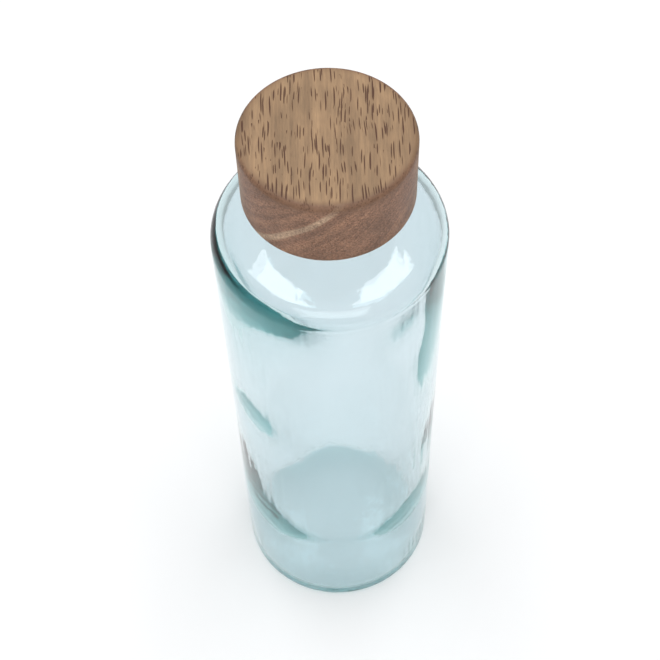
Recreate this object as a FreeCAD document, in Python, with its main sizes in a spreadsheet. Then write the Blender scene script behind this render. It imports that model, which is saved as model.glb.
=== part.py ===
"""Glass water bottle with a push-in acacia lid, as a parametric document.

Millimetres, +Z up. The origin is the centre of the ring that the bottle stands on.

    glass_bottle   one blown piece: base with a shallow punt, straight wall, shoulder, neck and mouth
    lid_head       thick turned disc of acacia that overhangs the neck
    lid_plug       turned peg glued into the underside of the head, with a groove for the seal
    silicone_seal  ribbed sleeve stretched into the groove; its lips grip the bore of the neck
"""

import FreeCAD, Part
import os
import Sketcher

NODES = ("glass_bottle", "lid_head", "lid_plug", "silicone_seal")

# alias, value, what it is
DIMENSIONS = (
    # bottle, outside
    ("body_radius", 37.5, "outside radius of the straight wall"),
    ("shoulder_edge", 210.2, "height where the wall and the shoulder slope would meet"),
    ("shoulder_rise", 4.5, "how much the shoulder climbs from the wall to the neck"),
    ("shoulder_round", 7.5, "radius of the shoulder's outer corner"),
    ("heel_round", 3.0, "radius where the wall turns into the base"),
    ("neck_radius", 16.2, "outside radius of the neck"),
    ("neck_round", 4.5, "radius of the hollow between shoulder and neck"),
    ("mouth_height", 225.7, "height of the rim"),
    ("bead_radius", 18.6, "outside radius of the rolled rim"),
    ("bead_height", 5.6, "height of the rolled rim"),
    ("bead_round", 2.4, "radius of the rim's upper outer edge"),
    ("bead_under_round", 1.5, "radius of the rim's lower outer edge"),
    ("bead_root_round", 0.8, "radius of the hollow under the rim"),
    # bottle, inside
    ("wall", 2.8, "thickness of the straight wall"),
    ("floor_height", 3.8, "height of the inside floor above the table"),
    ("floor_round", 2.4, "radius between the floor and the wall"),
    ("shoulder_wall", 3.3, "thickness of the shoulder, measured upright"),
    ("inner_shoulder_round", 5.2, "inside radius of the shoulder's corner"),
    ("bore_radius", 12.5, "radius of the bore that takes the stopper"),
    ("bore_root_round", 3.0, "radius where the bore opens into the bottle"),
    ("mouth_round", 1.2, "radius of the rim's inner edge"),
    # bottle, underneath
    ("punt_radius", 29.0, "outside radius of the hollow under the base"),
    ("punt_shelf_radius", 22.0, "radius where the hollow flattens"),
    ("punt_shelf", 0.9, "depth of the hollow at that radius"),
    ("punt_depth", 1.4, "depth of the hollow at its centre"),
    ("punt_round", 2.0, "radius of the edge of the hollow"),
    # lid
    ("head_radius", 26.6, "radius of the head"),
    ("head_bottom", 226.0, "height of the underside of the head"),
    ("head_height", 24.7, "thickness of the head"),
    ("head_top_round", 1.8, "radius of the head's upper edge"),
    ("head_bottom_bevel", 0.4, "bevel of the head's lower edge"),
    ("plug_radius", 11.6, "radius of the peg and of the recess it is glued into"),
    ("plug_glued", 8.0, "how far the peg reaches into the head"),
    ("plug_bottom", 212.6, "height of the peg's lower end"),
    ("plug_end_round", 1.0, "radius of the peg's lower edge"),
    # seal
    ("groove_radius", 9.4, "radius of the floor of the groove in the peg"),
    ("groove_bottom", 215.4, "height of the groove's lower edge"),
    ("groove_top", 224.6, "height of the groove's upper edge"),
    ("sleeve_radius", 11.1, "outside radius of the seal between its lips"),
    ("seal_clearance", 0.3, "room between a lip and the glass"),
    ("lip_thickness", 0.9, "thickness of a lip at its tip"),
    ("lip_flare", 0.7, "how much thicker a lip is at its root, on each side"),
)
LIP_COUNT = 3
ABOVE_MOUTH = 10.0
TOLERANCE = 0.05

doc = FreeCAD.newDocument("water_bottle")


def make_sheet():
    """Write the driving dimensions into a spreadsheet, one alias a row."""
    sheet = doc.addObject("Spreadsheet::Sheet", "Sizes")
    for row, (alias, value, meaning) in enumerate(DIMENSIONS, start=1):
        sheet.set("A%d" % row, meaning)
        sheet.set("B%d" % row, str(value))
        sheet.setAlias("B%d" % row, alias)
    doc.recompute()
    return sheet


sheet = make_sheet()


def size(alias):
    """The value of one cell, in millimetres."""
    return float(sheet.get(alias))


def cell(formula):
    """Turn a formula in aliases into one that names the sheet."""
    words = []
    for word in formula.split():
        is_alias = word[0].isalpha()
        words.append("Sizes." + word if is_alias else word)
    return " ".join(words)


def value_of(formula):
    """Work out such a formula in plain numbers, term by term."""
    total = 0.0
    sign = 1.0
    for word in formula.split():
        if word == "+":
            sign = 1.0
        elif word == "-":
            sign = -1.0
        else:
            number = size(word) if word[0].isalpha() else float(word)
            total += sign * number
    return total


def origin_plane(body, role):
    """Find one of the body's own origin planes by its role."""
    for feature in body.Origin.OriginFeatures:
        if feature.Role == role:
            return feature
    raise RuntimeError("no plane " + role)


def half_profile(body, name, outline):
    """Sketch a closed outline on the body's XZ plane.

    outline lists (radius, height) as formulas in the sheet's aliases, and "0" puts
    a corner on the axis or on the table.
    """
    sketch = body.newObject("Sketcher::SketchObject", name)
    sketch.AttachmentSupport = [(origin_plane(body, "XZ_Plane"), "")]
    sketch.MapMode = "FlatFace"
    corners = [FreeCAD.Vector(value_of(r), value_of(z), 0) for r, z in outline]
    count = len(corners)
    for i in range(count):
        sketch.addGeometry(Part.LineSegment(corners[i], corners[(i + 1) % count]), False)
    for i in range(count):
        sketch.addConstraint(Sketcher.Constraint("Coincident", i, 2, (i + 1) % count, 1))
    for i, (radius, height) in enumerate(outline):
        if radius == "0":
            sketch.addConstraint(Sketcher.Constraint("PointOnObject", i, 1, -2))
        else:
            index = sketch.addConstraint(Sketcher.Constraint("DistanceX", -1, 1, i, 1, corners[i].x))
            sketch.setExpression("Constraints[%d]" % index, cell(radius))
        if height == "0":
            sketch.addConstraint(Sketcher.Constraint("PointOnObject", i, 1, -1))
        else:
            index = sketch.addConstraint(Sketcher.Constraint("DistanceY", -1, 1, i, 1, corners[i].y))
            sketch.setExpression("Constraints[%d]" % index, cell(height))
    doc.recompute()
    return sketch


def turned(body, name, outline, kind="Revolution"):
    """Revolve an outline about the Z axis, as material or as a groove."""
    before = body.Shape.Volume if kind == "Groove" else 0.0
    sketch = half_profile(body, name + "_outline", outline)
    feature = body.newObject("PartDesign::" + kind, name)
    feature.Profile = sketch
    feature.ReferenceAxis = (sketch, ["V_Axis"])
    feature.Angle = 360.0
    body.Tip = feature
    doc.recompute()
    if kind == "Groove" and body.Shape.Volume > before - 1.0:
        raise RuntimeError(name + " cut nothing")
    return feature


def ring_edge(feature, radius, height):
    """Name of the feature's circular edge with this radius and height."""
    for number, edge in enumerate(feature.Shape.Edges, start=1):
        curve = edge.Curve
        if not isinstance(curve, Part.Circle):
            continue
        on_axis = abs(curve.Center.x) < TOLERANCE and abs(curve.Center.y) < TOLERANCE
        same = abs(curve.Radius - radius) < TOLERANCE and abs(curve.Center.z - height) < TOLERANCE
        if on_axis and same:
            return "Edge%d" % number
    raise RuntimeError("no edge of radius %.2f at %.2f" % (radius, height))


def dressed(body, name, base, edges, amount, kind="Fillet"):
    """Round or bevel ring edges, given as (radius, height) formulas, by one cell."""
    feature = body.newObject("PartDesign::" + kind, name)
    names = [ring_edge(base, value_of(r), value_of(z)) for r, z in edges]
    feature.Base = (base, names)
    target = "Radius" if kind == "Fillet" else "Size"
    setattr(feature, target, size(amount))
    feature.setExpression(target, cell(amount))
    body.Tip = feature
    doc.recompute()
    if "Invalid" in feature.State:
        raise RuntimeError(name + " could not be made")
    return feature


def new_body(node):
    body = doc.addObject("PartDesign::Body", node)
    body.Label = node
    return body


def make_bottle():
    """One piece of glass: turned outside, hollowed, then every edge softened."""
    body = new_body("glass_bottle")
    neck_foot = "shoulder_edge + shoulder_rise"
    bead_foot = "mouth_height - bead_height"
    outside = turned(body, "outside", (
        ("0", "0"),
        ("body_radius", "0"),
        ("body_radius", "shoulder_edge"),
        ("neck_radius", neck_foot),
        ("neck_radius", bead_foot),
        ("bead_radius", bead_foot),
        ("bead_radius", "mouth_height"),
        ("0", "mouth_height"),
    ))
    step = dressed(body, "heel", outside, [("body_radius", "0")], "heel_round")
    step = dressed(body, "shoulder_corner", step, [("body_radius", "shoulder_edge")], "shoulder_round")
    step = dressed(body, "neck_hollow", step, [("neck_radius", neck_foot)], "neck_round")
    step = dressed(body, "rim_top", step, [("bead_radius", "mouth_height")], "bead_round")
    step = dressed(body, "rim_underside", step, [("bead_radius", bead_foot)], "bead_under_round")
    step = dressed(body, "rim_hollow", step, [("neck_radius", bead_foot)], "bead_root_round")

    inner_corner = "shoulder_edge - shoulder_wall"
    bore_foot = "shoulder_edge + shoulder_rise - shoulder_wall"
    cavity = turned(body, "cavity", (
        ("0", "floor_height"),
        ("body_radius - wall", "floor_height"),
        ("body_radius - wall", inner_corner),
        ("bore_radius", bore_foot),
        ("bore_radius", "mouth_height + %s" % ABOVE_MOUTH),
        ("0", "mouth_height + %s" % ABOVE_MOUTH),
    ), "Groove")
    step = dressed(body, "floor_corner", cavity, [("body_radius - wall", "floor_height")], "floor_round")
    step = dressed(body, "inner_shoulder", step, [("body_radius - wall", inner_corner)],
                   "inner_shoulder_round")
    step = dressed(body, "bore_root", step, [("bore_radius", bore_foot)], "bore_root_round")
    step = dressed(body, "mouth_edge", step, [("bore_radius", "mouth_height")], "mouth_round")

    punt = turned(body, "punt", (
        ("0", "0"),
        ("punt_radius", "0"),
        ("punt_shelf_radius", "punt_shelf"),
        ("0", "punt_depth"),
    ), "Groove")
    dressed(body, "punt_edge", punt, [("punt_radius", "0")], "punt_round")
    return body


def make_head():
    """The disc that the hand grips, with a blind recess for the peg."""
    body = new_body("lid_head")
    top = "head_bottom + head_height"
    disc = turned(body, "disc", (
        ("0", "head_bottom + plug_glued"),
        ("plug_radius", "head_bottom + plug_glued"),
        ("plug_radius", "head_bottom"),
        ("head_radius", "head_bottom"),
        ("head_radius", top),
        ("0", top),
    ))
    step = dressed(body, "top_edge", disc, [("head_radius", top)], "head_top_round")
    dressed(body, "bottom_edge", step, [("head_radius", "head_bottom")], "head_bottom_bevel", "Chamfer")
    return body


def make_plug():
    """The peg, with a groove that keeps the seal from sliding off."""
    body = new_body("lid_plug")
    peg = turned(body, "peg", (
        ("0", "plug_bottom"),
        ("plug_radius", "plug_bottom"),
        ("plug_radius", "groove_bottom"),
        ("groove_radius", "groove_bottom"),
        ("groove_radius", "groove_top"),
        ("plug_radius", "groove_top"),
        ("plug_radius", "head_bottom + plug_glued"),
        ("0", "head_bottom + plug_glued"),
    ))
    dressed(body, "lower_edge", peg, [("plug_radius", "plug_bottom")], "plug_end_round")
    return body


def make_seal():
    """A silicone sleeve whose lips share the groove's height evenly."""
    body = new_body("silicone_seal")
    lip_radius = "bore_radius - seal_clearance"
    outline = [("groove_radius", "groove_bottom"), ("sleeve_radius", "groove_bottom")]
    spacing = (size("groove_top") - size("groove_bottom")) / LIP_COUNT
    for i in range(LIP_COUNT):
        middle = "groove_bottom + %.4f" % (spacing * (i + 0.5))
        half_tip = "%.4f" % (size("lip_thickness") / 2)
        outline += [
            ("sleeve_radius", "%s - %s - lip_flare" % (middle, half_tip)),
            (lip_radius, "%s - %s" % (middle, half_tip)),
            (lip_radius, "%s + %s" % (middle, half_tip)),
            ("sleeve_radius", "%s + %s + lip_flare" % (middle, half_tip)),
        ]
    outline += [("sleeve_radius", "groove_top"), ("groove_radius", "groove_top")]
    turned(body, "sleeve", outline)
    return body


def check_document():
    """Stop on any failed feature, before anything is written."""
    for item in doc.Objects:
        if "Invalid" in item.State or "Error" in item.State:
            raise RuntimeError("%s failed: %s" % (item.Name, item.State))


def write_parts(bodies):
    os.makedirs("parts", exist_ok=True)
    for body in bodies:
        shape = body.Shape
        if shape.isNull() or not shape.isValid() or len(shape.Solids) != 1:
            raise RuntimeError(body.Label + " is not one valid solid")
    for body in bodies:
        body.Shape.exportStep("parts/%s.step" % body.Label)
        box = body.Shape.optimalBoundingBox(False, False)
        print("%-14s %9.1f mm3  r %.2f  z %.2f to %.2f"
              % (body.Label, body.Shape.Volume, box.XMax, box.ZMin, box.ZMax))


bodies = [make_bottle(), make_head(), make_plug(), make_seal()]
doc.recompute()
check_document()
if tuple(body.Label for body in bodies) != NODES:
    raise RuntimeError("the nodes are not the ones listed")
write_parts(bodies)
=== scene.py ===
# %% [markdown]
# # A glass water bottle with a turned wooden lid
#
# The bottle is one blown piece of pale blue-green glass. Its lid is a thick disc of oiled acacia
# with a short peg under it, and a silicone seal round the peg grips the neck. This script models
# the glass and the head of the lid round a measured frame, keeps the frame's own peg and seal,
# gives all four pieces their finish, and lights them on a pale floor.

# %% Load the frame
import math

import bpy
from mathutils import Matrix, Vector, noise


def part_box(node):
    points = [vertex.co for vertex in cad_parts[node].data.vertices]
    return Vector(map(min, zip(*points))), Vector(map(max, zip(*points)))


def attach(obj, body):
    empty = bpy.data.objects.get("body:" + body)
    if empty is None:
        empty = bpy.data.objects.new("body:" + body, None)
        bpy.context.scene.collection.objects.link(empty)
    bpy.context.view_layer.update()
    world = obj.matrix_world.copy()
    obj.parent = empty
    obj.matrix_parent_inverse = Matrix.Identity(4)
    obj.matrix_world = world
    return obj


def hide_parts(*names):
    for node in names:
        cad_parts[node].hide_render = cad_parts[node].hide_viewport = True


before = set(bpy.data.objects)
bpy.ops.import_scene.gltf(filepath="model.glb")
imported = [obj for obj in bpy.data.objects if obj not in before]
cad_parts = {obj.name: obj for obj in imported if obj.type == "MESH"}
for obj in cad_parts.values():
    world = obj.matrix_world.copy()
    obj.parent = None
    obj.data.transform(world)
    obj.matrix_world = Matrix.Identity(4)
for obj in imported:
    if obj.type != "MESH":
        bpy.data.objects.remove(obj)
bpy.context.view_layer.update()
MM = 0.001
print("frame nodes:", sorted(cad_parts))

# %% [markdown]
# ## The camera
#
# The camera looks from in front and well above, so that the top of the lid and the whole shoulder
# show. A long lens from half a metre keeps the sides of the bottle nearly parallel, but the base
# still comes out narrower than the shoulder because it is further away. The camera is also rolled
# very slightly. It is made first because every later choice is judged through it.

# %% Place the camera
AIM_HEIGHT = 105.8 * MM
CAMERA_DISTANCE = 549.3 * MM
LOOKING_DOWN = math.radians(59.69)
CAMERA_ROLL = math.radians(-1.69)
LENS_MM = 80.8
SENSOR_MM = 36.0
SHIFT_RIGHT = -0.0067
SHIFT_UP = 0.0914

look = Vector((0, math.cos(LOOKING_DOWN), -math.sin(LOOKING_DOWN)))
level_right = Vector((1, 0, 0))
level_up = level_right.cross(look)
right = math.cos(CAMERA_ROLL) * level_right + math.sin(CAMERA_ROLL) * level_up
up = math.cos(CAMERA_ROLL) * level_up - math.sin(CAMERA_ROLL) * level_right

camera_data = bpy.data.cameras.new("camera")
camera_data.lens = LENS_MM
camera_data.sensor_width = SENSOR_MM
camera_data.shift_x = SHIFT_RIGHT
camera_data.shift_y = SHIFT_UP
camera = bpy.data.objects.new("camera", camera_data)
bpy.context.scene.collection.objects.link(camera)
turn = Matrix((right, up, -look)).transposed().to_4x4()
camera.matrix_world = Matrix.Translation(Vector((0, 0, AIM_HEIGHT)) - look * CAMERA_DISTANCE) @ turn
bpy.context.scene.camera = camera
print("camera at", [round(v, 3) for v in camera.location])

# %% [markdown]
# ## Turning round pieces
#
# Every piece here is round, and a round piece can be made by revolving an outline or by starting
# from a cylinder and pulling its end face out ring by ring, as a potter pulls a wall. The second
# way is used, because the faces stay one closed skin that points outwards all the way, even where
# it turns back down inside the neck. The sharp rings are softened afterwards with real bevels.

# %% Helpers for selecting
RING_TOLERANCE = 0.02 * MM


def select_nothing():
    """Leave edit mode and deselect every object: the frame's own pieces start selected."""
    if bpy.context.object is not None and bpy.context.object.mode != "OBJECT":
        bpy.ops.object.mode_set(mode="OBJECT")
    bpy.ops.object.select_all(action="DESELECT")


def clear_mesh_selection(mesh):
    bpy.ops.object.mode_set(mode="OBJECT")
    for group in (mesh.vertices, mesh.edges, mesh.polygons):
        group.foreach_set("select", [False] * len(group))


def edit_selected(kind):
    bpy.ops.object.mode_set(mode="EDIT")
    bpy.ops.mesh.select_mode(type=kind)


def at_radius(point, radius):
    return abs(math.hypot(point.x, point.y) - radius) < RING_TOLERANCE


# %% Helpers for round pieces
def start_round(name, radius, low, high, sides):
    """A closed cylinder, its place in its mesh."""
    select_nothing()
    bpy.ops.mesh.primitive_cylinder_add(vertices=sides, radius=radius, depth=high - low,
                                        end_fill_type="NGON", location=(0, 0, (low + high) / 2))
    piece = bpy.context.active_object
    piece.name = name
    piece.data.name = name
    bpy.ops.object.transform_apply(location=True, rotation=True, scale=True)
    return piece


def pick_cap(mesh, height, facing):
    """Select the flat end face at this height that faces up (1) or down (-1)."""
    clear_mesh_selection(mesh)
    for face in mesh.polygons:
        flat = face.normal.z * facing > 0.9
        if flat and len(face.vertices) > 4 and abs(face.center.z - height) < RING_TOLERANCE:
            face.select = True
    edit_selected("FACE")


def pull_rings(piece, facing, rings):
    """Extrude the end face through a list of (radius, height) rings."""
    radius, height = rings[0]
    pick_cap(piece.data, height, facing)
    for next_radius, next_height in rings[1:]:
        bpy.ops.mesh.extrude_region()
        scale = next_radius / radius
        bpy.ops.transform.resize(value=(scale, scale, 1), center_override=(0, 0, height))
        bpy.ops.transform.translate(value=(0, 0, next_height - height))
        radius, height = next_radius, next_height
    bpy.ops.object.mode_set(mode="OBJECT")


def soften_ring(piece, radius, height, arc, turn_degrees, steps):
    """Bevel one sharp ring to an arc of this radius; turn_degrees is how far the corner turns."""
    mesh = piece.data
    clear_mesh_selection(mesh)
    near = [at_radius(v.co, radius) and abs(v.co.z - height) < RING_TOLERANCE for v in mesh.vertices]
    count = 0
    for edge in mesh.edges:
        edge.select = near[edge.vertices[0]] and near[edge.vertices[1]]
        count += edge.select
    if count == 0:
        raise RuntimeError("no ring of radius %.4f at %.4f" % (radius, height))
    edit_selected("EDGE")
    offset = arc * math.tan(math.radians(turn_degrees) / 2)
    bpy.ops.mesh.bevel(offset_type="OFFSET", offset=offset, segments=steps, profile=0.5, affect="EDGES")
    bpy.ops.object.mode_set(mode="OBJECT")


def divide_wall(piece, radius, low, high, cuts):
    """Cut the upright edges of a straight wall, so that it can be made uneven."""
    mesh = piece.data
    clear_mesh_selection(mesh)
    for edge in mesh.edges:
        first, second = (mesh.vertices[i].co for i in edge.vertices)
        tall = abs(first.z - second.z) > 0.5 * (high - low)
        edge.select = tall and at_radius(first, radius) and at_radius(second, radius)
    edit_selected("EDGE")
    bpy.ops.mesh.subdivide(number_cuts=cuts)
    bpy.ops.object.mode_set(mode="OBJECT")


def smooth_skin(piece, degrees):
    """Shade the skin smooth, but keep a sharp line wherever it turns by more than this."""
    select_nothing()
    piece.select_set(True)
    bpy.context.view_layer.objects.active = piece
    bpy.ops.object.shade_smooth_by_angle(angle=math.radians(degrees))


# %% [markdown]
# ## The glass bottle
#
# A bottle like this is blown into a mould. The outside copies the mould, so it is true; the inside
# is shaped by air alone, so the wall is uneven and the floor is a little thicker. The skin is
# pulled up the outside, over the rim, down the bore and out to the inside floor in one go. The
# round between the inside wall and the floor is kept small on purpose: a large one acts as a lens
# and draws a ragged dark line round the foot.

# %% Measure the bottle's frame
_, bottle_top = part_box("glass_bottle")
BODY_RADIUS = bottle_top.x
MOUTH_HEIGHT = bottle_top.z
WALL = 2.8 * MM
INNER_RADIUS = BODY_RADIUS - WALL
SHOULDER_EDGE = MOUTH_HEIGHT - 15.5 * MM
SHOULDER_WALL = 3.3 * MM
NECK_FOOT = MOUTH_HEIGHT - 11.0 * MM
NECK_RADIUS = 16.2 * MM
BEAD_RADIUS = 18.6 * MM
BEAD_FOOT = MOUTH_HEIGHT - 5.6 * MM
BORE_RADIUS = 12.5 * MM
FLOOR_HEIGHT = 3.8 * MM
STANDING_RADIUS = 29 * MM
print("bottle radius %.1f mm, mouth at %.1f mm" % (BODY_RADIUS / MM, MOUTH_HEIGHT / MM))

# %% Choose the skin's rings
SIDES = 192
OUTER_CUTS = 63
INNER_CUTS = 95
SLOPE = math.degrees(math.atan2(NECK_FOOT - SHOULDER_EDGE, BODY_RADIUS - NECK_RADIUS))
PUNT_TURN = 7.3
MOUTH_AND_INSIDE = (
    (BODY_RADIUS, SHOULDER_EDGE),
    (NECK_RADIUS, NECK_FOOT),
    (NECK_RADIUS, BEAD_FOOT),
    (BEAD_RADIUS, BEAD_FOOT),
    (BEAD_RADIUS, MOUTH_HEIGHT),
    (BORE_RADIUS, MOUTH_HEIGHT),
    (BORE_RADIUS, NECK_FOOT - SHOULDER_WALL),
    (INNER_RADIUS, SHOULDER_EDGE - SHOULDER_WALL),
    (INNER_RADIUS, FLOOR_HEIGHT),
    (9 * MM, FLOOR_HEIGHT),
    (5 * MM, FLOOR_HEIGHT + 0.1 * MM),
    (1 * MM, FLOOR_HEIGHT + 0.15 * MM),
)
HOLLOW_UNDER_BASE = (
    (BODY_RADIUS, 0.0),
    (STANDING_RADIUS, 0.0),
    (22 * MM, 0.9 * MM),
    (14 * MM, 1.1 * MM),
    (6 * MM, 1.3 * MM),
    (1 * MM, 1.4 * MM),
)
# ring radius, ring height, radius of its arc, degrees that it turns, steps
ROUNDS = (
    (BODY_RADIUS, 0.0, 3.0 * MM, 90, 8),
    (BODY_RADIUS, SHOULDER_EDGE, 7.5 * MM, 90 - SLOPE, 14),
    (NECK_RADIUS, NECK_FOOT, 4.5 * MM, 90 - SLOPE, 10),
    (NECK_RADIUS, BEAD_FOOT, 0.8 * MM, 90, 5),
    (BEAD_RADIUS, BEAD_FOOT, 1.5 * MM, 90, 6),
    (BEAD_RADIUS, MOUTH_HEIGHT, 2.4 * MM, 90, 8),
    (BORE_RADIUS, MOUTH_HEIGHT, 1.2 * MM, 90, 6),
    (BORE_RADIUS, NECK_FOOT - SHOULDER_WALL, 3.0 * MM, 90 - SLOPE, 8),
    (INNER_RADIUS, SHOULDER_EDGE - SHOULDER_WALL, 5.2 * MM, 90 - SLOPE, 10),
    (INNER_RADIUS, FLOOR_HEIGHT, 2.4 * MM, 90, 14),
    (STANDING_RADIUS, 0.0, 2.0 * MM, PUNT_TURN, 4),
)
print("the shoulder rises at %.1f degrees" % SLOPE)


# %% Pull the bottle's skin
def make_bottle():
    bottle = start_round("bottle_glass", BODY_RADIUS, 0.0, SHOULDER_EDGE, SIDES)
    pull_rings(bottle, 1, MOUTH_AND_INSIDE)
    pull_rings(bottle, -1, HOLLOW_UNDER_BASE)
    for ring in ROUNDS:
        soften_ring(bottle, *ring)
    divide_wall(bottle, BODY_RADIUS, 0.0, SHOULDER_EDGE, OUTER_CUTS)
    divide_wall(bottle, INNER_RADIUS, FLOOR_HEIGHT, SHOULDER_EDGE, INNER_CUTS)
    return bottle


bottle = make_bottle()
print("bottle skin:", len(bottle.data.vertices), "points")

# %% [markdown]
# ## Uneven glass
#
# The air in the mould leaves the wall thicker in some places than in others. The inner skin moves
# in and out by a few tenths of a millimetre over slow, tall waves, and eight places hold more
# glass, up to about three millimetres. Light that enters such a place is caught between the two
# skins, travels a long way inside, and leaves as a dark teal smear where the wall thins again. The
# outer skin is drawn in by a hair at mid height, where the hot wall sagged away from the mould.
# A displacement modifier could move the points, but a sum of soft bells is used, because each
# thick place can then be put where it is wanted.

# %% Choose where the glass is thick
WAVE_DEPTH = 0.35 * MM
WAVES_ROUND = 1.3
WAVE_HEIGHT = 55 * MM
WAIST_DEPTH = 0.3 * MM
# degrees from the front, height, degrees that it spreads round, spread up, extra glass
THICK_PLACES = (
    (-64, 180 * MM, 25, 21 * MM, 3.1 * MM),
    (-26, 191 * MM, 18, 10 * MM, 1.6 * MM),
    (-56, 121 * MM, 15, 9 * MM, 1.2 * MM),
    (-60, 43 * MM, 22, 8.5 * MM, 1.8 * MM),
    (56, 43 * MM, 19, 8.5 * MM, 1.8 * MM),
    (0, 46 * MM, 60, 5 * MM, 0.35 * MM),
    (72, 165 * MM, 12, 20 * MM, 1.4 * MM),
    (40, 186 * MM, 9, 8 * MM, 0.7 * MM),
)


def bell(distance, spread):
    return math.exp(-0.5 * (distance / spread) ** 2)


def extra_glass(x, y, z):
    """How much thicker than even the wall is at this place; negative where it is thinner."""
    direction = math.degrees(math.atan2(x, -y))
    radius = math.hypot(x, y)
    place = Vector((x / radius * WAVES_ROUND, y / radius * WAVES_ROUND, z / WAVE_HEIGHT))
    extra = WAVE_DEPTH * noise.noise(place)
    for towards, height, round_spread, up_spread, depth in THICK_PLACES:
        extra += depth * bell(direction - towards, round_spread) * bell(z - height, up_spread)
    return extra


print("%d thick places" % len(THICK_PLACES))

# %% Make the walls uneven
HEEL_TOP = 3.2 * MM
SHOULDER_START = SHOULDER_EDGE - 8 * MM
INSIDE_START = 5 * MM
FADE_UP = 20 * MM
FADE_DOWN = 6 * MM


def uneven_walls(piece):
    """Move the two skins, fading out towards the floor and the shoulder; return the extra glass."""
    mid_wall = BODY_RADIUS - 0.5 * WALL
    added = []
    for vertex in piece.data.vertices:
        x, y, z = vertex.co
        radius = math.hypot(x, y)
        if radius < BORE_RADIUS + 1 * MM or z > SHOULDER_EDGE:
            continue
        move = -WAIST_DEPTH * math.sin(math.pi * z / SHOULDER_EDGE) ** 2
        if radius < mid_wall and z > INSIDE_START:
            fade = min(1.0, (z - INSIDE_START) / FADE_UP, (SHOULDER_EDGE - z) / FADE_DOWN)
            extra = extra_glass(x, y, z) * fade
            added.append(extra)
            move -= extra
        elif radius < mid_wall or not HEEL_TOP < z < SHOULDER_START:
            continue
        vertex.co.x += x / radius * move
        vertex.co.y += y / radius * move
    return added


added = uneven_walls(bottle)
smooth_skin(bottle, 40)
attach(bottle, "bottle")
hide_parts("glass_bottle")
print("extra glass: %.2f to %.2f mm" % (min(added) / MM, max(added) / MM))

# %% [markdown]
# ## Small tools for materials
#
# Every finish below is worked out from noise and simple sums, with no image files. These helpers
# keep the node graphs short: one line for a sum, a range, a stretched noise or a colour mix.

# %% Helpers for node sums
def math_node(nodes, links, operation, *values):
    node = nodes.new("ShaderNodeMath")
    node.operation = operation
    for socket, value in zip(node.inputs, values):
        if isinstance(value, (int, float)):
            socket.default_value = value
        else:
            links.new(value, socket)
    return node.outputs[0]


def map_range(nodes, links, value, low, high, to_low=0.0, to_high=1.0, smooth=True):
    node = nodes.new("ShaderNodeMapRange")
    node.interpolation_type = "SMOOTHSTEP" if smooth else "LINEAR"
    links.new(value, node.inputs["Value"])
    for name, number in (("From Min", low), ("From Max", high), ("To Min", to_low), ("To Max", to_high)):
        node.inputs[name].default_value = number
    return node.outputs["Result"]


def mapped(nodes, links, vector, scale, rotation=(0, 0, 0)):
    node = nodes.new("ShaderNodeMapping")
    links.new(vector, node.inputs["Vector"])
    node.inputs["Scale"].default_value = scale
    node.inputs["Rotation"].default_value = rotation
    return node.outputs["Vector"]


def split_xyz(nodes, links, vector):
    node = nodes.new("ShaderNodeSeparateXYZ")
    links.new(vector, node.inputs["Vector"])
    return node.outputs


def vector_length(nodes, links, vector):
    node = nodes.new("ShaderNodeVectorMath")
    node.operation = "LENGTH"
    links.new(vector, node.inputs[0])
    return node.outputs["Value"]


def noise_node(nodes, links, vector, scale, detail=2.0, roughness=0.5):
    node = nodes.new("ShaderNodeTexNoise")
    links.new(vector, node.inputs["Vector"])
    node.inputs["Scale"].default_value = scale
    node.inputs["Detail"].default_value = detail
    node.inputs["Roughness"].default_value = roughness
    return node.outputs["Fac"]


def blend_colour(nodes, links, factor, first, second, mode="MIX"):
    node = nodes.new("ShaderNodeMix")
    node.data_type = "RGBA"
    node.blend_type = mode
    for name, value in (("Factor", factor), ("A", first), ("B", second)):
        socket = [s for s in node.inputs if s.name == name and s.enabled][0]
        if isinstance(value, (int, float)):
            socket.default_value = value
        elif isinstance(value, tuple):
            socket.default_value = (*value, 1)
        else:
            links.new(value, socket)
    return [s for s in node.outputs if s.enabled][0]


# %% Helpers for materials and groups
def new_material(name):
    material = bpy.data.materials.new(name)
    material.use_nodes = True
    nodes = material.node_tree.nodes
    return material, nodes, material.node_tree.links, nodes["Principled BSDF"]


def new_group(name, outputs):
    """A node group that puts out these masks, worked out from places on the piece itself."""
    group = bpy.data.node_groups.new(name, "ShaderNodeTree")
    for output in outputs:
        group.interface.new_socket(name=output, in_out="OUTPUT", socket_type="NodeSocketFloat")
    exits = group.nodes.new("NodeGroupOutput").inputs
    place = group.nodes.new("ShaderNodeTexCoord").outputs["Object"]
    return group, place, exits


def place_group(nodes, group):
    node = nodes.new("ShaderNodeGroup")
    node.node_tree = group
    return node.outputs


def add_bump(nodes, links, shader, height, distance, strength):
    bump = nodes.new("ShaderNodeBump")
    bump.inputs["Distance"].default_value = distance
    bump.inputs["Strength"].default_value = strength
    links.new(height, bump.inputs["Height"])
    links.new(bump.outputs["Normal"], shader.inputs["Normal"])


def dress(piece, material):
    piece.data.materials.clear()
    piece.data.materials.append(material)
    print(piece.name, "is", material.name)


# %% [markdown]
# ## Glass
#
# Recycled glass keeps a little iron, which eats red light. A thin wall looks almost clear, and
# light that has gone a long way inside comes out dark teal. A surface tint can't do that, so the
# colour is an absorption inside the solid, worked out from how much light a 10 mm path keeps. The
# skin also carries faint upright ripples, drawn down as the hot glass was blown and cooled.
#
# Tracing every lamp through the solid would leave a dark patch under the bottle. So the glass
# lets lamplight straight through, nearly whole where it meets the wall square and about half of
# it where it meets the wall at a slant, which leaves a soft shade round the foot.

# %% Ripples in the skin
RIPPLE_STRETCH = (130, 130, 14)
DIMPLE_STRETCH = (260, 260, 200)
DIMPLE_SHARE = 0.08


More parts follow.
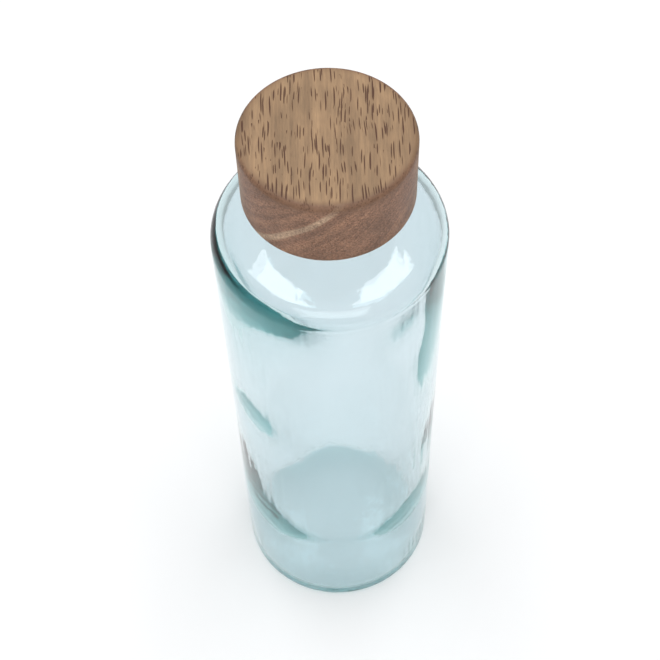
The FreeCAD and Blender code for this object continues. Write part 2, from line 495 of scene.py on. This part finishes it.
def make_ripple_group():
    group, place, exits = new_group("blown_ripple", ("Height",))
    nodes, links = group.nodes, group.links
    upright = noise_node(nodes, links, mapped(nodes, links, place, RIPPLE_STRETCH), 1.0, 2.0)
    dimples = noise_node(nodes, links, mapped(nodes, links, place, DIMPLE_STRETCH), 1.0, 1.0)
    links.new(math_node(nodes, links, "MULTIPLY_ADD", dimples, DIMPLE_SHARE, upright), exits["Height"])
    return group


# %% Make the glass
PATH = 10 * MM
PASSED_IN_PATH = (0.66, 0.82, 0.82)
ABSORPTION_DENSITY = 60.0
RIPPLE_DEPTH = 0.19 * MM
GLASS_IOR = 1.5
SKIN_TINT = (0.945, 0.944, 0.970)
LAMP_TINT_SQUARE = (0.995, 0.995, 0.995)
LAMP_TINT_GRAZING = (0.46, 0.46, 0.46)
SLANT_START = 0.3
SLANT_END = 0.85


def colour_the_inside(nodes, links):
    depth = nodes.new("ShaderNodeVolumeAbsorption")
    tint = [1 + math.log(passed) / (PATH * ABSORPTION_DENSITY) for passed in PASSED_IN_PATH]
    depth.inputs["Color"].default_value = (*tint, 1)
    depth.inputs["Density"].default_value = ABSORPTION_DENSITY
    links.new(depth.outputs["Volume"], nodes["Material Output"].inputs["Volume"])
    print("glass tint:", [round(t, 3) for t in tint])


def let_lamps_through(nodes, links, shader):
    slant = nodes.new("ShaderNodeLayerWeight")
    slant.inputs["Blend"].default_value = 0.5
    grazing = map_range(nodes, links, slant.outputs["Facing"], SLANT_START, SLANT_END)
    lamp_tint = blend_colour(nodes, links, grazing, LAMP_TINT_SQUARE, LAMP_TINT_GRAZING)
    lamp_side = nodes.new("ShaderNodeBsdfTransparent")
    links.new(lamp_tint, lamp_side.inputs["Color"])
    either = nodes.new("ShaderNodeMixShader")
    links.new(nodes.new("ShaderNodeLightPath").outputs["Is Shadow Ray"], either.inputs["Fac"])
    links.new(shader.outputs["BSDF"], either.inputs[1])
    links.new(lamp_side.outputs["BSDF"], either.inputs[2])
    links.new(either.outputs["Shader"], nodes["Material Output"].inputs["Surface"])


def make_glass():
    material, nodes, links, shader = new_material("recycled_glass")
    ripple = place_group(nodes, make_ripple_group())
    add_bump(nodes, links, shader, ripple["Height"], RIPPLE_DEPTH, 1.0)
    shader.inputs["Base Color"].default_value = (*SKIN_TINT, 1)
    shader.inputs["Transmission Weight"].default_value = 1.0
    shader.inputs["Roughness"].default_value = 0.0
    shader.inputs["IOR"].default_value = GLASS_IOR
    colour_the_inside(nodes, links)
    let_lamps_through(nodes, links, shader)
    return material


dress(bottle, make_glass())

# %% [markdown]
# ## The head of the lid
#
# The head is cut from an acacia plank and turned, so its grain runs straight across: long grain
# on the two flat faces, end grain at the front and back of the rim. The upper edge is sanded soft
# and the lower one only broken. Its frame piece already has the right shape, and here it is pulled
# again with finer rings so that the edge stays smooth close up.

# %% Measure the head
head_low, head_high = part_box("lid_head")
HEAD_RADIUS = head_high.x
HEAD_BOTTOM = head_low.z
HEAD_TOP = head_high.z
HEAD_SIDES = 160
UPPER_EDGE = 1.8 * MM
LOWER_EDGE = 0.4 * MM
_, plug_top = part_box("lid_plug")
PLUG_RADIUS = plug_top.x
RECESS_TOP = plug_top.z
print("head: %.1f mm across, %.1f mm thick" % (2 * HEAD_RADIUS / MM, (HEAD_TOP - HEAD_BOTTOM) / MM))


# %% Turn the head
def make_head():
    """The flat top gets inner rings, so that it isn't one fan of long thin faces."""
    head = start_round("lid_disc", HEAD_RADIUS, HEAD_BOTTOM, HEAD_TOP, HEAD_SIDES)
    pull_rings(head, 1, (
        (HEAD_RADIUS, HEAD_TOP),
        (23.5 * MM, HEAD_TOP),
        (12 * MM, HEAD_TOP),
        (1 * MM, HEAD_TOP),
    ))
    pull_rings(head, -1, (
        (HEAD_RADIUS, HEAD_BOTTOM),
        (PLUG_RADIUS, HEAD_BOTTOM),
        (PLUG_RADIUS, RECESS_TOP),
        (1 * MM, RECESS_TOP),
    ))
    soften_ring(head, HEAD_RADIUS, HEAD_TOP, UPPER_EDGE, 90, 8)
    soften_ring(head, HEAD_RADIUS, HEAD_BOTTOM, LOWER_EDGE, 90, 3)
    smooth_skin(head, 35)
    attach(head, "lid")
    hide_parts("lid_head")
    return head


head = make_head()
print("head skin:", len(head.data.vertices), "points")

# %% [markdown]
# ## Wood grain
#
# Wood is a solid pattern, so it is made as one: growth bands are tilted sheets that run the length
# of the board, and pores are long thin tubes along it. Cut across the top they show as dashes, and
# cut across the front they show as dots. A flat pattern wrapped round the lid would break at the
# edge. The grain is a node group, so that any piece cut from this board can share it, and its
# places are counted in millimetres.

# %% Bands and the pale streak
WANDER_STRETCH = (0.03, 0.008, 0.05)
WANDER_DEPTH = 4.0
BAND_TILT = math.radians(45)
BAND_SCALE = 0.34
STREAK_LEVEL = 177.0
STREAK_EDGE = (0.5, 1.3)
STREAK_END = (-2.0, 9.0)


def add_bands(nodes, links, in_mm, exits):
    """Tilted sheets with a slow wander, so that none is quite flat, and one pale sheet at the left."""
    wander = noise_node(nodes, links, mapped(nodes, links, in_mm, WANDER_STRETCH), 1.0, 1.0)
    tilted = mapped(nodes, links, in_mm, (1, 1, 1), (0, BAND_TILT, 0))
    level = split_xyz(nodes, links, tilted)["Z"]
    level = math_node(nodes, links, "MULTIPLY_ADD", wander, WANDER_DEPTH, level)
    sheets = nodes.new("ShaderNodeCombineXYZ")
    links.new(level, sheets.inputs["Z"])
    band = noise_node(nodes, links, sheets.outputs["Vector"], BAND_SCALE, 5.0, 0.68)
    links.new(map_range(nodes, links, band, 0.34, 0.66), exits["Band"])
    from_streak = math_node(nodes, links, "SUBTRACT", level, STREAK_LEVEL)
    from_streak = math_node(nodes, links, "ABSOLUTE", from_streak)
    pale = map_range(nodes, links, from_streak, *STREAK_EDGE, 1.0, 0.0)
    at_left = map_range(nodes, links, split_xyz(nodes, links, in_mm)["X"], *STREAK_END, 1.0, 0.0)
    links.new(math_node(nodes, links, "MULTIPLY", pale, at_left), exits["Streak"])


# %% Flecks and blotches
FLECK_STRETCH = (1.6, 0.16, 1.6)
STIPPLE_SCALE = 1.5
BLOTCH_STRETCH = (0.11, 0.05, 0.11)


def add_flecks(nodes, links, in_mm, exits):
    """Short fibres along the board, fine stipple for its cut ends, and broad uneven patches."""
    fleck = noise_node(nodes, links, mapped(nodes, links, in_mm, FLECK_STRETCH), 1.0, 3.0, 0.65)
    stipple = noise_node(nodes, links, in_mm, STIPPLE_SCALE, 2.0, 0.6)
    blotch = noise_node(nodes, links, mapped(nodes, links, in_mm, BLOTCH_STRETCH), 1.0, 3.0, 0.55)
    links.new(fleck, exits["Fleck"])
    links.new(stipple, exits["Stipple"])
    links.new(blotch, exits["Blotch"])
    return fleck


# %% Pores
BEND_STRETCH = (0.08, 0.05, 0.08)
BEND_DEPTH = 2.5
CROWD_STRETCH = (0.16, 0.05, 0.16)
# spacing across in mm, length in mm, girth as a share of the spacing, share of cells filled
LONG_PORES = (0.62, 11.0, 0.42, 0.62)
SHORT_PORES = (0.55, 7.0, 0.38, 0.5)


def pore_layer(nodes, links, along, across_mm, length_mm, size, kept):
    """Dark tubes along Y: one in each cell, of random girth, and some cells left empty."""
    stretched = mapped(nodes, links, along, (1 / across_mm, 1 / length_mm, 1 / across_mm))
    cells = nodes.new("ShaderNodeTexVoronoi")
    cells.feature = "F1"
    links.new(stretched, cells.inputs["Vector"])
    cells.inputs["Scale"].default_value = 1.0
    chance = nodes.new("ShaderNodeSeparateColor")
    links.new(cells.outputs["Color"], chance.inputs["Color"])
    girth = map_range(nodes, links, chance.outputs[0], 0.0, 1.0, 0.55 * size, size, smooth=False)
    inside = math_node(nodes, links, "DIVIDE", cells.outputs["Distance"], girth)
    tube = map_range(nodes, links, inside, 0.75, 1.05, 1.0, 0.0)
    crowd = noise_node(nodes, links, mapped(nodes, links, along, CROWD_STRETCH), 1.0, 1.0)
    share = map_range(nodes, links, crowd, 0.35, 0.65, 0.45 * kept, 1.5 * kept)
    present = math_node(nodes, links, "LESS_THAN", chance.outputs[1], share)
    return math_node(nodes, links, "MULTIPLY", tube, present)


def add_pores(nodes, links, in_mm, exits):
    bend = noise_node(nodes, links, mapped(nodes, links, in_mm, BEND_STRETCH), 1.0, 1.0)
    push = nodes.new("ShaderNodeCombineXYZ")
    links.new(math_node(nodes, links, "MULTIPLY", bend, BEND_DEPTH), push.inputs["X"])
    bent = nodes.new("ShaderNodeVectorMath")
    bent.operation = "ADD"
    links.new(in_mm, bent.inputs[0])
    links.new(push.outputs["Vector"], bent.inputs[1])
    long_pores = pore_layer(nodes, links, bent.outputs[0], *LONG_PORES)
    short_pores = pore_layer(nodes, links, bent.outputs[0], *SHORT_PORES)
    links.new(math_node(nodes, links, "MAXIMUM", long_pores, short_pores), exits["Pores"])


# %% End grain and the darker upper edge
RIM_RADIUS = 24.0
RIM_SPREAD = 2.4
RIM_TOP = HEAD_TOP / MM - 0.6
RIM_DEPTH = 4.5
# The upper edge is darkened fully at the front, and this fades towards the back.
FRONT_DARKENING_SPAN = (-8.0, -18.0)
BACK_DARKENING_SHARE = 0.35


def add_end_grain(nodes, links, fleck, exits):
    """One where the surface cuts across the fibres, with a ragged change between the two."""
    normal = nodes.new("ShaderNodeTexCoord").outputs["Normal"]
    end = math_node(nodes, links, "ABSOLUTE", split_xyz(nodes, links, normal)["Y"])
    centred = math_node(nodes, links, "SUBTRACT", fleck, 0.5)
    ragged = math_node(nodes, links, "MULTIPLY_ADD", centred, 0.5, end)
    links.new(map_range(nodes, links, ragged, 0.06, 0.45), exits["End Grain"])


def add_rim(nodes, links, in_mm, fleck, exits):
    """Darken the upper edge, most of all at the front and least at the back."""
    reach = vector_length(nodes, links, mapped(nodes, links, in_mm, (1, 1, 0)))
    ragged_reach = math_node(nodes, links, "MULTIPLY_ADD", fleck, 1.6, reach)
    near_edge = map_range(nodes, links, ragged_reach, RIM_RADIUS, RIM_RADIUS + RIM_SPREAD)
    place = split_xyz(nodes, links, in_mm)
    near_top = map_range(nodes, links, place["Z"], RIM_TOP - RIM_DEPTH, RIM_TOP)
    towards_front = map_range(nodes, links, place["Y"], *FRONT_DARKENING_SPAN, BACK_DARKENING_SHARE, 1.0)
    edge = math_node(nodes, links, "MULTIPLY", near_edge, near_top)
    links.new(math_node(nodes, links, "MULTIPLY", edge, towards_front), exits["Rim"])


# %% Build the grain group
GRAIN_MASKS = ("Band", "Streak", "Fleck", "Stipple", "Blotch", "Pores", "End Grain", "Rim")


def make_grain_group():
    group, place, exits = new_group("acacia_grain", GRAIN_MASKS)
    nodes, links = group.nodes, group.links
    in_mm = mapped(nodes, links, place, (1 / MM, 1 / MM, 1 / MM))
    add_bands(nodes, links, in_mm, exits)
    fleck = add_flecks(nodes, links, in_mm, exits)
    add_pores(nodes, links, in_mm, exits)
    add_end_grain(nodes, links, fleck, exits)
    add_rim(nodes, links, in_mm, fleck, exits)
    return group


grain_group = make_grain_group()
print("grain group:", len(grain_group.nodes), "nodes")

# %% [markdown]
# ## Oiled acacia
#
# Oil soaks into end grain and turns it darker and more purple than the golden long grain. The
# pores are open, so they are dark and slightly sunk, and the oil leaves a low silky shine. One
# brown all over would look like plastic, so the colour is laid on in steps, each through a mask
# of the grain: bands, end grain, fibres and patches, a darker upper edge, and the pores last.

# %% Choose the colours of the wood
def tinted(colour, factors):
    return tuple(c * k for c, k in zip(colour, factors))


LIGHT_WOOD = (0.36, 0.222, 0.118)
DARK_WOOD = (0.26, 0.157, 0.083)
END_LIGHT = tinted(LIGHT_WOOD, (0.86, 0.74, 0.82))
END_DARK = tinted(DARK_WOOD, (0.72, 0.62, 0.72))
PALE_STREAK = tinted(LIGHT_WOOD, (1.12, 1.22, 1.5))
# A darker brown for the upper edge of the lid, strongest at the front.
DARK_UPPER_EDGE = tinted(DARK_WOOD, (0.6, 0.5, 0.5))
OPEN_PORE = tinted(DARK_WOOD, (0.27, 0.14, 0.10))
print("light wood %s, dark wood %s" % (LIGHT_WOOD, DARK_WOOD))

# %% Make the wood
EDGE_STRENGTH = 0.72
WOOD_IOR = 1.45
PORE_DEPTH = 0.10 * MM
FIBRE_SHARE = 0.25


def wood_shade(nodes, links, grain):
    """Fibres on the long grain, stipple on the end grain, and broad patches over both."""
    fleck = map_range(nodes, links, grain["Fleck"], 0.3, 0.7, 0.84, 1.12, smooth=False)
    stipple = map_range(nodes, links, grain["Stipple"], 0.3, 0.7, 0.66, 1.3, smooth=False)
    speck = nodes.new("ShaderNodeMix")
    links.new(grain["End Grain"], speck.inputs["Factor"])
    links.new(fleck, speck.inputs["A"])
    links.new(stipple, speck.inputs["B"])
    blotch = map_range(nodes, links, grain["Blotch"], 0.32, 0.68, 0.8, 1.16, smooth=False)
    shade = math_node(nodes, links, "MULTIPLY", speck.outputs["Result"], blotch)
    grey = nodes.new("ShaderNodeCombineXYZ")
    for axis in "XYZ":
        links.new(shade, grey.inputs[axis])
    return grey.outputs["Vector"]


def wood_colour(nodes, links, grain):
    long_grain = blend_colour(nodes, links, grain["Band"], LIGHT_WOOD, DARK_WOOD)
    end_grain = blend_colour(nodes, links, grain["Band"], END_LIGHT, END_DARK)
    end_grain = blend_colour(nodes, links, grain["Streak"], end_grain, PALE_STREAK)
    colour = blend_colour(nodes, links, grain["End Grain"], long_grain, end_grain)
    colour = blend_colour(nodes, links, 1.0, colour, wood_shade(nodes, links, grain), "MULTIPLY")
    rim = math_node(nodes, links, "MULTIPLY", grain["Rim"], EDGE_STRENGTH)
    colour = blend_colour(nodes, links, rim, colour, DARK_UPPER_EDGE)
    shown = map_range(nodes, links, grain["End Grain"], 0.0, 1.0, 0.95, 0.45, smooth=False)
    pores = math_node(nodes, links, "MULTIPLY", grain["Pores"], shown)
    return blend_colour(nodes, links, pores, colour, OPEN_PORE)


def make_wood():
    material, nodes, links, shader = new_material("oiled_acacia")
    grain = place_group(nodes, grain_group)
    links.new(wood_colour(nodes, links, grain), shader.inputs["Base Color"])
    rough = map_range(nodes, links, grain["Fleck"], 0.3, 0.7, 0.5, 0.62, smooth=False)
    links.new(rough, shader.inputs["Roughness"])
    shader.inputs["IOR"].default_value = WOOD_IOR
    fibres = math_node(nodes, links, "MULTIPLY", grain["Fleck"], FIBRE_SHARE)
    height = math_node(nodes, links, "SUBTRACT", fibres, grain["Pores"])
    add_bump(nodes, links, shader, height, PORE_DEPTH, 0.7)
    return material


head_wood = make_wood()
dress(head, head_wood)
dress(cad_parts["lid_plug"], head_wood)

# %% [markdown]
# ## The silicone seal
#
# The sleeve round the peg is cast in one piece with three soft lips. It could be turned again
# like the head, but its frame piece already has the finished shape, so only the finish is made:
# milky, slightly translucent rubber. The lips are rubbed shiny where they slide in the neck, dust
# settles in the grooves, and the skin keeps the fine grain of its mould.

# %% Wear on the seal
_, seal_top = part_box("silicone_seal")
LIP_REACH = seal_top.x
GROOVE_REACH = LIP_REACH - 1.1 * MM
DUST_STRETCH = (350, 350, 700)
MOULD_GRAIN = 4000.0
print("seal: %.1f mm across its lips" % (2 * LIP_REACH / MM))


def make_seal_group():
    group, place, exits = new_group("seal_wear", ("Rubbed", "Dust", "Grain"))
    nodes, links = group.nodes, group.links
    reach = vector_length(nodes, links, mapped(nodes, links, place, (1, 1, 0)))
    middle = (LIP_REACH + GROOVE_REACH) / 2
    links.new(map_range(nodes, links, reach, middle, LIP_REACH), exits["Rubbed"])
    patchy = noise_node(nodes, links, mapped(nodes, links, place, DUST_STRETCH), 1.0, 4.0, 0.6)
    hollow = map_range(nodes, links, reach, GROOVE_REACH, middle, 1.0, 0.0)
    dust = math_node(nodes, links, "MULTIPLY", hollow, map_range(nodes, links, patchy, 0.38, 0.68))
    links.new(dust, exits["Dust"])
    links.new(noise_node(nodes, links, place, MOULD_GRAIN, 2.0), exits["Grain"])
    return group


# %% Make the silicone
MILKY = (0.80, 0.82, 0.80)
DUSTY = (0.64, 0.63, 0.58)
SATIN = 0.52
SHINY = 0.3
GRAIN_DEPTH = 0.02 * MM
SCATTER = 0.25
SCATTER_REACH = 2 * MM


def make_silicone():
    material, nodes, links, shader = new_material("satin_silicone")
    wear = place_group(nodes, make_seal_group())
    links.new(blend_colour(nodes, links, wear["Dust"], MILKY, DUSTY), shader.inputs["Base Color"])
    rough = map_range(nodes, links, wear["Rubbed"], 0.0, 1.0, SATIN, SHINY, smooth=False)
    rough = math_node(nodes, links, "MULTIPLY_ADD", wear["Dust"], 0.25, rough)
    links.new(rough, shader.inputs["Roughness"])
    add_bump(nodes, links, shader, wear["Grain"], GRAIN_DEPTH, 0.5)
    shader.inputs["Subsurface Weight"].default_value = SCATTER
    shader.inputs["Subsurface Radius"].default_value = (SCATTER_REACH, SCATTER_REACH, SCATTER_REACH)
    return material


dress(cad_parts["silicone_seal"], make_silicone())

# %% [markdown]
# ## Floor and light
#
# The bottle stands on a seamless pale floor. Glass shows what is round it, so the room matters as
# much as the lamps: the floor makes the wall bright, and a dimmer grey room above it draws the
# darker lines along the shoulder. Two soft boxes hang overhead, one at each side, and leave the
# pair of bright patches on the shoulder. A wide third one in front lights the side of the lid and
# the front of the glass. Light can bounce many times inside glass before it gets out again, so the
# limit on bounces is raised.

# %% Lay the floor
FLOOR_SIZE = 6.0
FLOOR_GAP = 0.05 * MM
FLOOR_WHITE = (0.985, 0.97, 0.965)

select_nothing()
bpy.ops.mesh.primitive_plane_add(size=FLOOR_SIZE, location=(0, 0, -FLOOR_GAP))
floor = bpy.context.active_object
floor.name = "floor"
floor_paint, _, _, floor_shader = new_material("pale_floor")
floor_shader.inputs["Base Color"].default_value = (*FLOOR_WHITE, 1)
floor_shader.inputs["Roughness"].default_value = 0.9
floor_shader.inputs["Specular IOR Level"].default_value = 0.1
dress(floor, floor_paint)

# %% Hang the soft boxes
COOL_WHITE = (0.93, 0.975, 1.0)
NEUTRAL_WHITE = (1.0, 1.0, 1.0)
SIDE_SIZE = (0.32, 0.9)
SIDE_RADIANCE = 4.2
SIDE_REACH = 0.31
SIDE_BACK = 0.20
SIDE_HEIGHT = 1.2
FRONT_SIZE = (1.6, 0.9)
FRONT_RADIANCE = 1.9
FRONT_PLACE = (0, -1.3, 1.3)
FRONT_TIP = 45


def hang_soft_box(name, size, radiance, colour, place, tip_degrees):
    """A rectangular lamp that faces straight down; tipping it turns its face towards the back."""
    lamp = bpy.data.lights.new(name, "AREA")
    lamp.shape = "RECTANGLE"
    lamp.size, lamp.size_y = size
    lamp.energy = radiance * math.pi * size[0] * size[1]
    lamp.color = colour
    holder = bpy.data.objects.new(name, lamp)
    holder.location = place
    holder.rotation_euler.x = math.radians(tip_degrees)
    bpy.context.scene.collection.objects.link(holder)
    print("%s: %.1f W at %s" % (name, lamp.energy, place))


for name, side in (("soft_box_left", -1), ("soft_box_right", 1)):
    place = (side * SIDE_REACH, SIDE_BACK, SIDE_HEIGHT)
    hang_soft_box(name, SIDE_SIZE, SIDE_RADIANCE, COOL_WHITE, place, 0)
hang_soft_box("front_box", FRONT_SIZE, FRONT_RADIANCE, NEUTRAL_WHITE, FRONT_PLACE, FRONT_TIP)

# %% Set the room
ROOM_GREY = (0.57, 0.57, 0.575)
BOUNCES = 32

world = bpy.data.worlds.new("room")
world.use_nodes = True
world.node_tree.nodes["Background"].inputs["Color"].default_value = (*ROOM_GREY, 1)
bpy.context.scene.world = world
bpy.context.scene.view_settings.view_transform = "Standard"
bpy.context.scene.cycles.max_bounces = BOUNCES
bpy.context.scene.cycles.transmission_bounces = BOUNCES
bpy.context.scene.cycles.glossy_bounces = BOUNCES
print("room grey %s, up to %d bounces" % (ROOM_GREY, BOUNCES))
